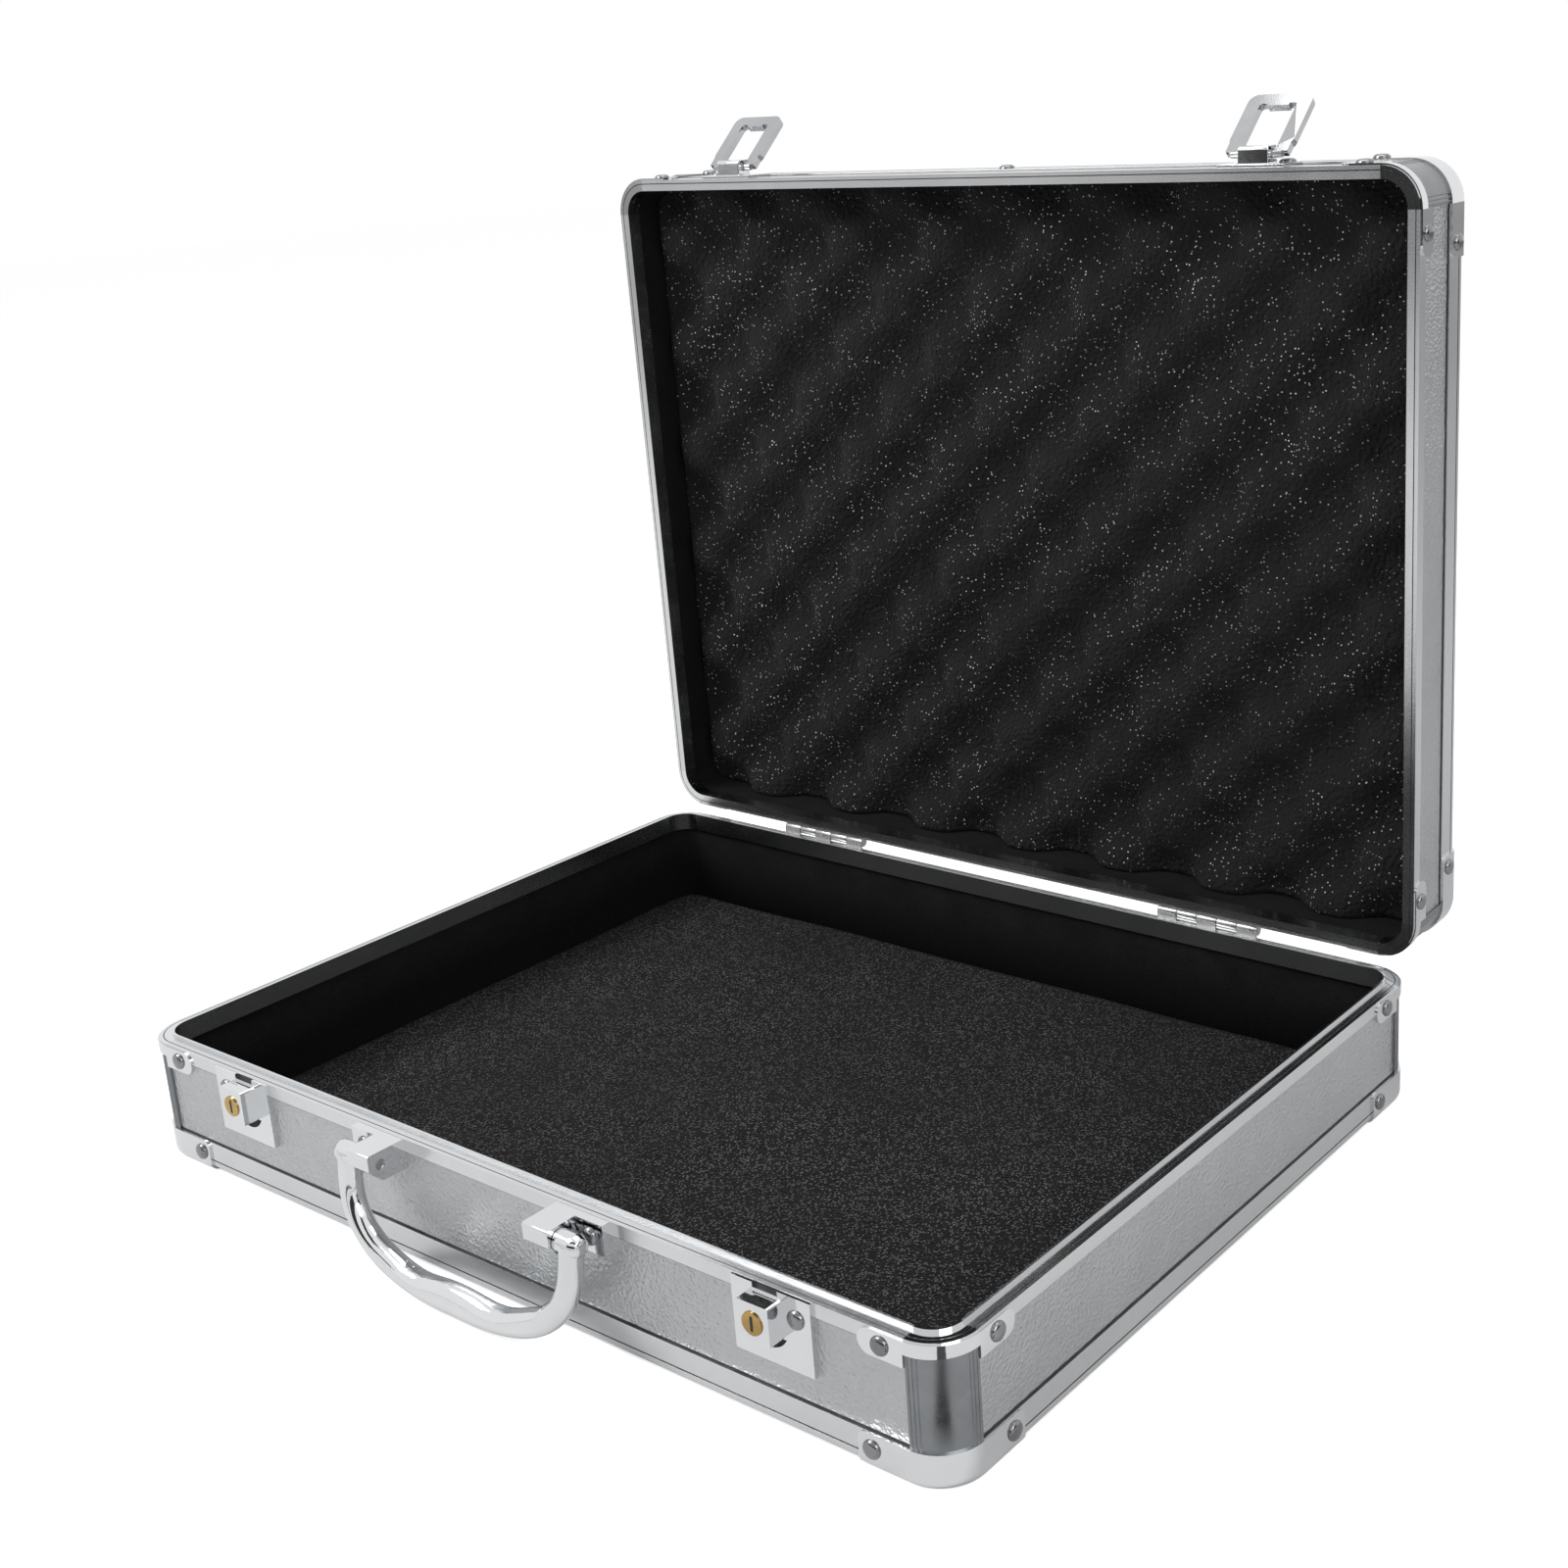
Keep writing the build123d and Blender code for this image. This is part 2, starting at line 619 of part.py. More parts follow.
def handle_bracket():
    """Cast bracket: a flange on the wall and a lug that takes the handle's pin."""
    low = base_height - plate_drop - bracket_height
    flange_section = outline(stepped_plate(low, base_height - plate_drop, base_height, bracket_flange))
    flange = side_bar(flange_section, "front", bracket_inner, bracket_outer)
    top = base_height - plate_drop
    lug_section = outline(
        [(0, low), (-bracket_out + 5, low), (-bracket_out, top - 6), (-bracket_out, top), (0, top)],
        [((-bracket_out, top), 0.8), ((-bracket_out + 5, low), 2.0)],
    )
    lug = side_bar(lug_section, "front", bracket_inner, bracket_inner + bracket_lug_width)
    bore = Pos(bracket_inner + bracket_lug_width / 2, handle_axis_y, handle_axis_z) * Rot(0, 90, 0)
    return flange + lug - bore * Cylinder(handle_pin_radius, 2 * bracket_lug_width)


def handle_group():
    """The bail handle with its brackets, pins and rivets."""
    save("handle", handle())
    for name, bracket in front_pair(handle_bracket()).items():
        save(f"{name}_handle_bracket", bracket)
    pin_start = bracket_inner + 0.5
    pin_end = handle_span - barrel_length / 2 + 5.5
    pin = Cylinder(handle_pin_radius, pin_end - pin_start)
    pin = Pos((pin_start + pin_end) / 2, handle_axis_y, handle_axis_z) * Rot(0, 90, 0) * pin
    save("handle_pins", *front_pair(pin).values())
    middle = base_height - plate_drop - bracket_height / 2
    rivet = rivet_on_side("front", bracket_rivet_place, middle, bracket_flange)
    save("handle_rivets", *front_pair(rivet).values())


def joint_rivets():
    """Single rivets in the middle of the lid's front and rear edge extrusions."""
    face = Pos(0, -case_depth / 2 + edge_leg / 2, cap_gauge) * Rot(180, 0, 0) * rivet_head()
    front = rivet_on_side("front", 0, cap_rivet_height, 0)
    rear = rivet_on_side("rear", 0, cap_rivet_height, 0)
    return [face, front, rear]


def egg_crate_foam():
    """Foam block of the lid: a slab with rows of rounded bumps, closed end down."""
    inset = wall_inside + liner_gauge + pad_clearance
    slab = rounded_plate(inset, floor_inside, foam_slab)
    length = case_width - 2 * inset - 2 * foam_edge
    depth = case_depth - 2 * inset - 2 * foam_edge
    columns = int(length // foam_pitch)
    rows = int(depth // foam_pitch)
    pitch_x = length / columns
    pitch_y = depth / rows
    low = floor_inside + foam_slab
    foot = Rectangle(pitch_x - foam_valley, pitch_y - foam_valley)
    bump = extrude(foot, amount=foam_bump, taper=foam_bump_slope)
    places = []
    for column in range(columns):
        for row in range(rows):
            x = (column - (columns - 1) / 2) * pitch_x
            y = (row - (rows - 1) / 2) * pitch_y
            places.append(Pos(x, y, low) * bump)
    return slab + places


def build():
    """Make every sub-part, then write them all."""
    base = tray(base_height, base_rim_width, tongue_height, False)
    for name, solids in base.items():
        save(f"base_{name}", *solids)
    lid = tray(lid_height, lid_rim_width, 0.0, True)
    for name, solids in lid.items():
        save_lid(f"lid_{name}", *[close_lid(piece) for piece in solids])
    save_lid("lid_joint_rivets", *[close_lid(piece) for piece in joint_rivets()])
    inset = wall_inside + liner_gauge + pad_clearance
    save("base_floor_pad", rounded_plate(inset, floor_inside, floor_pad_thickness))
    save_lid("egg_crate_foam", close_lid(egg_crate_foam()))
    hinges()
    locks()
    hasps()
    handle_group()
    write_all()


build()
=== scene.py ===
import bpy
import bmesh
import math
from mathutils import Matrix, Vector, noise

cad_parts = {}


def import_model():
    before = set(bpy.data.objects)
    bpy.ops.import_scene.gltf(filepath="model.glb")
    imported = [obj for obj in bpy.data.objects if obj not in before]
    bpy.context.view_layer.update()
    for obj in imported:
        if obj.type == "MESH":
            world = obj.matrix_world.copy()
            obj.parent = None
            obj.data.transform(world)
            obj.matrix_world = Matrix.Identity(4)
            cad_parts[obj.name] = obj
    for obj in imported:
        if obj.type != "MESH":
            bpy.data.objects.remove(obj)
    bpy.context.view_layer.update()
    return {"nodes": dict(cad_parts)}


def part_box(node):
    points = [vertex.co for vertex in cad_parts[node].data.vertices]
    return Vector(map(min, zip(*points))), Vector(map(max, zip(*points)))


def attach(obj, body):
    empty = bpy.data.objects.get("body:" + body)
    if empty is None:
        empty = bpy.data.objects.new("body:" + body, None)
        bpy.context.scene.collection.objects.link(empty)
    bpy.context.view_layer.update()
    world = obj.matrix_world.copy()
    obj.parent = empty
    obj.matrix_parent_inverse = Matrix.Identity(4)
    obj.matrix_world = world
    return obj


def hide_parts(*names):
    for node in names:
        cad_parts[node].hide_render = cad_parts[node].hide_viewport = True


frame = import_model()

MM = 0.001
# The middle of the base along Y, in the frame
SHIFT_Y = -9.95864 * MM
CASE_FRONT = -152.0 * MM + SHIFT_Y
BASE_HEIGHT_MM = 50.0
LID_HEIGHT_MM = 38.0
WIDTH_OVER_DEPTH_MM = 48
LOCK_PLACE = 132 * MM
# The hinges' axis, how far the lid is open and the height of the shut case
HINGE = Vector((0, 154.35 * MM + SHIFT_Y, 52.35 * MM))
OPEN_ANGLE = math.radians(-89.3)
CLOSED_TOP = 88.4 * MM

node = frame["nodes"]


# Effects shared by the materials


def new_group(name, inputs, outputs):
    """An empty shared effect with its sockets."""
    group = bpy.data.node_groups.new(name, "ShaderNodeTree")
    for label, value in inputs:
        socket = group.interface.new_socket(name=label, in_out="INPUT", socket_type="NodeSocketFloat")
        socket.default_value = value
    for label in outputs:
        group.interface.new_socket(name=label, in_out="OUTPUT", socket_type="NodeSocketFloat")
    start = group.nodes.new("NodeGroupInput")
    end = group.nodes.new("NodeGroupOutput")
    return group, start, end


def pebble_grain():
    """Fine rounded pebbles pressed into sheet metal."""
    group, start, end = new_group("pebble grain", [("Scale", 900.0)], ["Height"])
    nodes, links = group.nodes, group.links
    place = nodes.new("ShaderNodeTexCoord")
    cells = nodes.new("ShaderNodeTexVoronoi")
    cells.feature = "SMOOTH_F1"
    cells.inputs["Smoothness"].default_value = 0.8
    ripple = nodes.new("ShaderNodeTexNoise")
    ripple.inputs["Detail"].default_value = 3.0
    share = nodes.new("ShaderNodeMath")
    share.operation = "MULTIPLY_ADD"
    share.inputs[1].default_value = 0.6
    links.new(place.outputs["Object"], cells.inputs["Vector"])
    links.new(place.outputs["Object"], ripple.inputs["Vector"])
    links.new(start.outputs["Scale"], cells.inputs["Scale"])
    links.new(start.outputs["Scale"], ripple.inputs["Scale"])
    links.new(ripple.outputs["Fac"], share.inputs[0])
    links.new(cells.outputs["Distance"], share.inputs[2])
    links.new(share.outputs[0], end.inputs["Height"])
    return group


def soft_marks():
    """Broad, faint patches of handling, from 0 to 1."""
    inputs = [("Scale", 20.0), ("Low", 0.3), ("High", 0.5)]
    group, start, end = new_group("soft marks", inputs, ["Value"])
    nodes, links = group.nodes, group.links
    place = nodes.new("ShaderNodeTexCoord")
    cloud = nodes.new("ShaderNodeTexNoise")
    cloud.inputs["Detail"].default_value = 6.0
    cloud.inputs["Roughness"].default_value = 0.65
    spread = nodes.new("ShaderNodeMapRange")
    spread.inputs["From Min"].default_value = 0.35
    spread.inputs["From Max"].default_value = 0.65
    links.new(place.outputs["Object"], cloud.inputs["Vector"])
    links.new(start.outputs["Scale"], cloud.inputs["Scale"])
    links.new(cloud.outputs["Fac"], spread.inputs["Value"])
    links.new(start.outputs["Low"], spread.inputs["To Min"])
    links.new(start.outputs["High"], spread.inputs["To Max"])
    links.new(spread.outputs["Result"], end.inputs["Value"])
    return group


def fleck_spots():
    """Small scattered specks: 1 on a speck, 0 between them."""
    group, start, end = new_group("fleck spots", [("Scale", 900.0), ("Size", 0.2)], ["Mask"])
    nodes, links = group.nodes, group.links
    place = nodes.new("ShaderNodeTexCoord")
    cells = nodes.new("ShaderNodeTexVoronoi")
    pick = nodes.new("ShaderNodeSeparateColor")
    chosen = nodes.new("ShaderNodeMath")
    chosen.operation = "GREATER_THAN"
    chosen.inputs[1].default_value = 0.55
    near = nodes.new("ShaderNodeMath")
    near.operation = "LESS_THAN"
    both = nodes.new("ShaderNodeMath")
    both.operation = "MULTIPLY"
    links.new(place.outputs["Object"], cells.inputs["Vector"])
    links.new(start.outputs["Scale"], cells.inputs["Scale"])
    links.new(cells.outputs["Color"], pick.inputs["Color"])
    links.new(pick.outputs["Red"], chosen.inputs[0])
    links.new(cells.outputs["Distance"], near.inputs[0])
    links.new(start.outputs["Size"], near.inputs[1])
    links.new(chosen.outputs[0], both.inputs[0])
    links.new(near.outputs[0], both.inputs[1])
    links.new(both.outputs[0], end.inputs["Mask"])
    return group


grain = pebble_grain()
marks = soft_marks()
flecks = fleck_spots()


def add_group(tree, group, **values):
    """Places a shared effect in a material, with its own values."""
    holder = tree.nodes.new("ShaderNodeGroup")
    holder.node_tree = group
    for label, value in values.items():
        holder.inputs[label].default_value = value
    return holder


def two_colours(tree, mask, first, second):
    """A colour between the two, led by the mask."""
    mix = tree.nodes.new("ShaderNodeMix")
    mix.data_type = "RGBA"
    mix.inputs["A"].default_value = (*first, 1)
    mix.inputs["B"].default_value = (*second, 1)
    tree.links.new(mask, mix.inputs["Factor"])
    return mix.outputs["Result"]


def bump(tree, height, strength, distance):
    """Relief from a height."""
    relief = tree.nodes.new("ShaderNodeBump")
    relief.inputs["Strength"].default_value = strength
    relief.inputs["Distance"].default_value = distance
    tree.links.new(height, relief.inputs["Height"])
    return relief.outputs["Normal"]


def start_material(name, metallic):
    """An empty material with its shader."""
    material = bpy.data.materials.new(name)
    material.use_nodes = True
    shader = material.node_tree.nodes["Principled BSDF"]
    shader.inputs["Metallic"].default_value = metallic
    return material, material.node_tree, shader


# Metals


def metal(name, light, dark, rough, mark_scale, grain_scale, grain_strength, grain_depth, metallic=1.0):
    """A metal whose colour and gloss drift a little, over a fine surface grain."""
    material, tree, shader = start_material(name, metallic)
    drift = add_group(tree, marks, Scale=mark_scale, Low=0.0, High=1.0)
    gloss = add_group(tree, marks, Scale=mark_scale * 2.3, Low=rough[0], High=rough[1])
    fine = add_group(tree, grain, Scale=grain_scale)
    colour = two_colours(tree, drift.outputs["Value"], light, dark)
    tree.links.new(colour, shader.inputs["Base Color"])
    tree.links.new(gloss.outputs["Value"], shader.inputs["Roughness"])
    normal = bump(tree, fine.outputs["Height"], grain_strength, grain_depth)
    tree.links.new(normal, shader.inputs["Normal"])
    return material


pebbled_skin = metal(
    "pebbled skin", light=(0.51, 0.52, 0.53), dark=(0.45, 0.46, 0.47), rough=(0.30, 0.40),
    mark_scale=14.0, grain_scale=850.0, grain_strength=0.75, grain_depth=0.0005, metallic=0.9,
)
satin_extrusion = metal(
    "satin extrusion", light=(0.68, 0.69, 0.70), dark=(0.63, 0.64, 0.65), rough=(0.18, 0.25),
    mark_scale=9.0, grain_scale=2600.0, grain_strength=0.12, grain_depth=0.0001,
)
satin_post = metal(
    "satin post", light=(0.27, 0.28, 0.29), dark=(0.21, 0.22, 0.23), rough=(0.24, 0.34),
    mark_scale=30.0, grain_scale=2600.0, grain_strength=0.10, grain_depth=0.0001,
)
bright_chrome = metal(
    "bright chrome", light=(0.74, 0.75, 0.76), dark=(0.69, 0.70, 0.71), rough=(0.04, 0.09),
    mark_scale=16.0, grain_scale=1800.0, grain_strength=0.03, grain_depth=0.0001,
)
zinc_steel = metal(
    "zinc steel", light=(0.50, 0.50, 0.49), dark=(0.38, 0.38, 0.37), rough=(0.22, 0.36),
    mark_scale=60.0, grain_scale=2200.0, grain_strength=0.12, grain_depth=0.0001,
)
hasp_chrome = metal(
    "hasp chrome", light=(0.50, 0.51, 0.52), dark=(0.42, 0.43, 0.44), rough=(0.05, 0.10),
    mark_scale=16.0, grain_scale=1800.0, grain_strength=0.03, grain_depth=0.0001,
)
rivet_steel = metal(
    "rivet steel", light=(0.30, 0.30, 0.31), dark=(0.20, 0.20, 0.21), rough=(0.10, 0.18),
    mark_scale=60.0, grain_scale=2200.0, grain_strength=0.06, grain_depth=0.0001,
)
turned_brass = metal(
    "turned brass", light=(0.56, 0.39, 0.15), dark=(0.38, 0.25, 0.09), rough=(0.18, 0.30),
    mark_scale=90.0, grain_scale=3000.0, grain_strength=0.10, grain_depth=0.0001,
)
# Black, for the dark cards seen in the metal and for the painted shade in joints, grooves, key slots and
# lock recesses
black_and_painted_shade = metal(
    "black and painted shade", light=(0.02, 0.02, 0.02), dark=(0.01, 0.01, 0.01), rough=(0.5, 0.7),
    mark_scale=90.0, grain_scale=3000.0, grain_strength=0.10, grain_depth=0.0001, metallic=0.0,
)


# Soft materials


def fibre(
    name, dark, light, fleck_scale, fleck_size, fuzz_scale, fuzz_depth, sheen, cluster_scale, cluster_low
):
    """Cloth or foam: a fuzzy dark ground with paler specks."""
    material, tree, shader = start_material(name, 0.0)
    speck = add_group(tree, flecks, Scale=fleck_scale, Size=fleck_size)
    rough = add_group(tree, marks, Scale=60.0, Low=0.85, High=1.0)
    fuzz = add_group(tree, grain, Scale=fuzz_scale)
    cluster = add_group(tree, marks, Scale=cluster_scale, Low=cluster_low, High=1.0)
    shown = tree.nodes.new("ShaderNodeMath")
    shown.operation = "MULTIPLY"
    tree.links.new(speck.outputs["Mask"], shown.inputs[0])
    tree.links.new(cluster.outputs["Value"], shown.inputs[1])
    colour = two_colours(tree, shown.outputs[0], dark, light)
    tree.links.new(colour, shader.inputs["Base Color"])
    tree.links.new(rough.outputs["Value"], shader.inputs["Roughness"])
    tree.links.new(bump(tree, fuzz.outputs["Height"], 0.8, fuzz_depth), shader.inputs["Normal"])
    shader.inputs["Specular IOR Level"].default_value = 0.2
    shader.inputs["Sheen Weight"].default_value = sheen
    shader.inputs["Sheen Roughness"].default_value = 0.5
    return material


black_felt = fibre(
    "black felt", dark=(0.0035, 0.0035, 0.004), light=(0.015, 0.015, 0.015), fleck_scale=1500.0,
    fleck_size=0.25, fuzz_scale=1300.0, fuzz_depth=0.0005, sheen=0.01, cluster_scale=40.0,
    cluster_low=0.4,
)
speckled_felt = fibre(
    "speckled felt", dark=(0.007, 0.007, 0.007), light=(0.15, 0.15, 0.15), fleck_scale=1150.0,
    fleck_size=0.42, fuzz_scale=800.0, fuzz_depth=0.0018, sheen=0.02, cluster_scale=12.0,
    cluster_low=0.45,
)
open_foam = fibre(
    "open foam", dark=(0.013, 0.013, 0.0135), light=(0.95, 0.95, 0.97), fleck_scale=640.0,
    fleck_size=0.19, fuzz_scale=600.0, fuzz_depth=0.0016, sheen=0.02, cluster_scale=34.0,
    cluster_low=0.0,
)


# Shapes


def add_mesh(name, mesh, material):
    """Puts a shape in the scene, and frees it."""
    data = bpy.data.meshes.new(name)
    mesh.to_mesh(data)
    mesh.free()
    data.materials.append(material)
    piece = bpy.data.objects.new(name, data)
    bpy.context.scene.collection.objects.link(piece)
    return piece


def join_in(mesh, addition):
    """Adds another shape to the mesh, and frees it."""
    data = bpy.data.meshes.new("addition")
    addition.to_mesh(data)
    addition.free()
    mesh.from_mesh(data)
    bpy.data.meshes.remove(data)


def finish_piece(name, mesh, material, body, smooth=True):
    """Makes the shape a piece of the object that rides on the body."""
    piece = add_mesh(name, mesh, material)
    if smooth:
        piece.data.shade_smooth()
    else:
        piece.data.shade_flat()
    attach(piece, body)
    return piece


def lid_place():
    """Takes a point of the lid laid closed end down to where it is on the open lid."""
    turned_over = Matrix.Translation((0, SHIFT_Y, CLOSED_TOP)) @ Matrix.Diagonal((1, 1, -1, 1))
    swing = Matrix.Rotation(OPEN_ANGLE, 4, "X")
    return Matrix.Translation(HINGE) @ swing @ Matrix.Translation(-HINGE) @ turned_over


def into_corner(point, half_x, half_y, radius):
    """Draws a point beyond the rounded corner back to its arc."""
    over_x = abs(point.x) - (half_x - radius)
    over_y = abs(point.y) - (half_y - radius)
    if over_x <= 0 or over_y <= 0:
        return
    reach = math.hypot(over_x, over_y)
    if reach <= radius:
        return
    point.x -= math.copysign(over_x * (1 - radius / reach), point.x)
    point.y -= math.copysign(over_y * (1 - radius / reach), point.y)


def soft_block(half_x, half_y, radius, across, along, low, height_at):
    """A closed block with a rounded outline and a shaped top, cut into so many steps across and along."""
    mesh = bmesh.new()
    bmesh.ops.create_grid(mesh, x_segments=across, y_segments=along, size=1)
    bmesh.ops.scale(mesh, vec=(half_x, half_y, 1), verts=mesh.verts)
    for vertex in mesh.verts:
        into_corner(vertex.co, half_x, half_y, radius)
        vertex.co.z = height_at(vertex.co.x, vertex.co.y)
    rim = [edge for edge in mesh.edges if edge.is_boundary]
    wall = bmesh.ops.extrude_edge_only(mesh, edges=rim)["geom"]
    foot = [item for item in wall if isinstance(item, bmesh.types.BMVert)]
    for vertex in foot:
        vertex.co.z = low
    bmesh.ops.remove_doubles(mesh, verts=mesh.verts, dist=0.00002)
    open_edges = [edge for edge in mesh.edges if edge.is_boundary]
    bmesh.ops.contextual_create(mesh, geom=open_edges)
    bmesh.ops.recalc_face_normals(mesh, faces=mesh.faces)
    return mesh


# Lid foam


FOAM_HALF = (194.6 * MM, 146.6 * MM)
FOAM_CORNER = 9.8 * MM
FOAM_PITCH = (51.9 * MM, 48.9 * MM)
FOAM_LOW = 4.7 * MM
FOAM_VALLEY = 13.6 * MM
FOAM_CREST = 23.6 * MM
FOAM_UNEVEN = 0.0006


def foam_height(x, y):
    """Rows of rounded crests with saddles between them, a little uneven as cut foam is."""
    wave = math.cos(2 * math.pi * x / FOAM_PITCH[0]) * math.cos(2 * math.pi * y / FOAM_PITCH[1])
    rise = 0.5 + 0.5 * wave
    rise = rise * rise * (3 - 2 * rise)
    uneven = FOAM_UNEVEN * noise.noise(Vector((x * 60, y * 60, 3.0)))
    return FOAM_VALLEY + (FOAM_CREST - FOAM_VALLEY) * rise + uneven


def lid_foam():
    """The foam block of the lid."""
    mesh = soft_block(*FOAM_HALF, FOAM_CORNER, across=240, along=180, low=FOAM_LOW, height_at=foam_height)
    bmesh.ops.transform(mesh, matrix=lid_place(), verts=mesh.verts)
    bmesh.ops.recalc_face_normals(mesh, faces=mesh.faces)
    foam = finish_piece("lid_foam", mesh, open_foam, "lid")
    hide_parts("egg_crate_foam")


# Floor pad and wall felt


PAD_REAR = 0.15
PAD_EDGE = (0.1945, 0.1465)
PAD_CORNER = 9.8 * MM
PAD_WAVE = 0.0003
PAD_REAR_WAVE = 0.0006
PAD_SUNK = 0.0010
PAD_EDGE_FALL = 0.0006


def pad_height(x, y):
    """Nearly flat, with soft waves that grow towards the rear and a fall at the very edge."""
    _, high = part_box("base_floor_pad")
    wave = noise.noise(Vector((x * 16, y * 22, 0.0)))
    depth = PAD_WAVE + PAD_REAR_WAVE * max(0.0, y / PAD_REAR)
    edge = max(abs(x) / PAD_EDGE[0], abs(y) / PAD_EDGE[1])
    return high[2] - PAD_SUNK + depth * wave - PAD_EDGE_FALL * edge ** 20


def floor_pad():
    """The speckled pad on the floor of the base."""
    low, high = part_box("base_floor_pad")
    half_x = (high[0] - low[0]) / 2
    half_y = (high[1] - low[1]) / 2
    mesh = soft_block(
        half_x, half_y, PAD_CORNER, across=120, along=90, low=low[2], height_at=pad_height
    )
    bmesh.ops.translate(mesh, vec=(0, SHIFT_Y, 0), verts=mesh.verts)
    pad = finish_piece("speckled_floor_pad", mesh, speckled_felt, "base")
    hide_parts("base_floor_pad")


def felt_band(half_x, half_y, radius, low, high):
    """A band of felt round the inside of the walls."""
    mesh = bmesh.new()
    bmesh.ops.create_circle(mesh, segments=4, radius=math.sqrt(2))
    bmesh.ops.rotate(mesh, matrix=Matrix.Rotation(math.pi / 4, 3, "Z"), verts=mesh.verts)
    bmesh.ops.scale(mesh, vec=(half_x, half_y, 1), verts=mesh.verts)
    bmesh.ops.translate(mesh, vec=(0, 0, low), verts=mesh.verts)
    grown = bmesh.ops.extrude_edge_only(mesh, edges=mesh.edges[:])["geom"]
    top = [item for item in grown if isinstance(item, bmesh.types.BMVert)]
    bmesh.ops.translate(mesh, vec=(0, 0, high - low), verts=top)
    upright = (high - low) * 0.5
    uprights = [
        edge for edge in mesh.edges if abs(edge.verts[0].co.z - edge.verts[1].co.z) > upright
    ]
    bmesh.ops.bevel(
        mesh, geom=uprights, offset=radius, segments=8, profile=0.5, affect="EDGES", material=-1
    )
    bmesh.ops.recalc_face_normals(mesh, faces=mesh.faces)
    return mesh


FELT_HALF = (195.65 * MM, 147.65 * MM)
FELT_CORNER = 11.0 * MM
FELT_LOW = 5.0 * MM
# Both tops are behind the rim's inner lip
BASE_FELT_TOP = 46.0 * MM
LID_FELT_TOP = 34.0 * MM
FELT_THICKNESS = 0.0007


def wall_felt(name, cad_name, body, low, high, place):
    """Felt round the inside of one half of the case."""
    half_x, half_y = FELT_HALF
    mesh = felt_band(half_x, half_y, FELT_CORNER, low, high)
    area = sum(face.calc_area() for face in mesh.faces)
    bmesh.ops.transform(mesh, matrix=place, verts=mesh.verts)
    felt = finish_piece(name, mesh, black_felt, body)
    skin = felt.modifiers.new("felt thickness", "SOLIDIFY")
    skin.thickness = FELT_THICKNESS
    skin.offset = 0.0
    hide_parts(cad_name)


# Thickness of the dark strips of painted shade in the joints and grooves
SEAM_SHADE_THICKNESS = 0.00016


def painted_seam_shade(name, body, height, place):
    """Painted shade: fine dark strips where shade falls in the joints between panels and extrusions, in the
    grooves along the extrusions and along the rim.
    """
    # Half the width, lower edge, upper edge and corner radius, in mm
    low_joint = (199.24, 12.8, 13.5, 14.7)
    high_joint = (199.24, height - 5.7, height - 5.0, 14.7)
    groove = (199.98, 4.6, 4.95, 15.4)
    rim_line = (198.3, height - 0.2, height + 0.03, 13.8)
    mesh = bmesh.new()
    for half_x, low, high, radius in (low_joint, high_joint, groove, rim_line):
        half_y = half_x - WIDTH_OVER_DEPTH_MM
        ring = felt_band(half_x * MM, half_y * MM, radius * MM, low * MM, high * MM)
        join_in(mesh, ring)
    bmesh.ops.transform(mesh, matrix=place, verts=mesh.verts)
    seam_shade_strips = finish_piece(name, mesh, black_and_painted_shade, body, smooth=False)
    width = seam_shade_strips.modifiers.new("seam width", "SOLIDIFY")
    width.thickness = SEAM_SHADE_THICKNESS
    width.offset = 0.0


# Rivets


# Shares of the head's radius and of its height, from the seat to the top
DOME = ((1.0, 0.0), (0.985, 0.22), (0.88, 0.62), (0.62, 0.90), (0.3, 0.99), (0.0, 1.0))


def rivet_dome(radius, height):
    """A low round head, spun from its profile."""
    mesh = bmesh.new()
    points = [mesh.verts.new((radius * across, 0, height * up)) for across, up in DOME]
    edges = [mesh.edges.new(pair) for pair in zip(points, points[1:])]
    bmesh.ops.spin(
        mesh, geom=points + edges, cent=(0, 0, 0), axis=(0, 0, 1), angle=2 * math.pi, steps=24,
        use_merge=True,
    )
    bmesh.ops.remove_doubles(mesh, verts=mesh.verts, dist=0.000005)
    rim = [edge for edge in mesh.edges if edge.is_boundary]
    bmesh.ops.contextual_create(mesh, geom=rim)
    bmesh.ops.recalc_face_normals(mesh, faces=mesh.faces)
    return mesh


def islands(mesh):
    """The vertices of each separate solid of a mesh."""
    waiting = set(mesh.verts)
    while waiting:
        group = {waiting.pop()}
        front = list(group)
        while front:
            vertex = front.pop()
            for edge in vertex.link_edges:
                other = edge.other_vert(vertex)
                if other in waiting:
                    waiting.discard(other)
                    group.add(other)
                    front.append(other)
        yield group


def seat_of(group):
    """Middle and direction outward of the flat seat of one rivet head, and the head's radius and height."""
    faces = {face for vertex in group for face in vertex.link_faces}
    areas = {}
    for face in faces:
        key = tuple(round(value, 2) for value in face.normal)
        areas[key] = areas.get(key, 0) + face.calc_area()
    inward = max(areas, key=areas.get)
    facing = [face for face in faces if tuple(round(value, 2) for value in face.normal) == inward]
    rim = {vertex for face in facing for vertex in face.verts}
    middle = sum((vertex.co for vertex in rim), Vector()) / len(rim)
    radius = max((vertex.co - middle).length for vertex in rim)
    height = max(abs((vertex.co - middle).dot(facing[0].normal)) for vertex in group)
    return middle, -facing[0].normal, radius, height


def round_rivets(cad_name, body):
    """Domed heads where the frame has plain ones."""
    source = bmesh.new()
    source.from_mesh(node[cad_name].data)
    bmesh.ops.remove_doubles(source, verts=source.verts, dist=0.000002)
    mesh = bmesh.new()
    for group in list(islands(source)):
        middle, outward, radius, height = seat_of(group)
        head = rivet_dome(radius, height)
        turn = Vector((0, 0, 1)).rotation_difference(outward).to_matrix().to_4x4()
        bmesh.ops.transform(head, matrix=Matrix.Translation(middle) @ turn, verts=head.verts)
        join_in(mesh, head)
    source.free()
    heads = finish_piece(f"round_{cad_name}", mesh, rivet_steel, body)
    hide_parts(cad_name)


# Finishes of the frame's own pieces


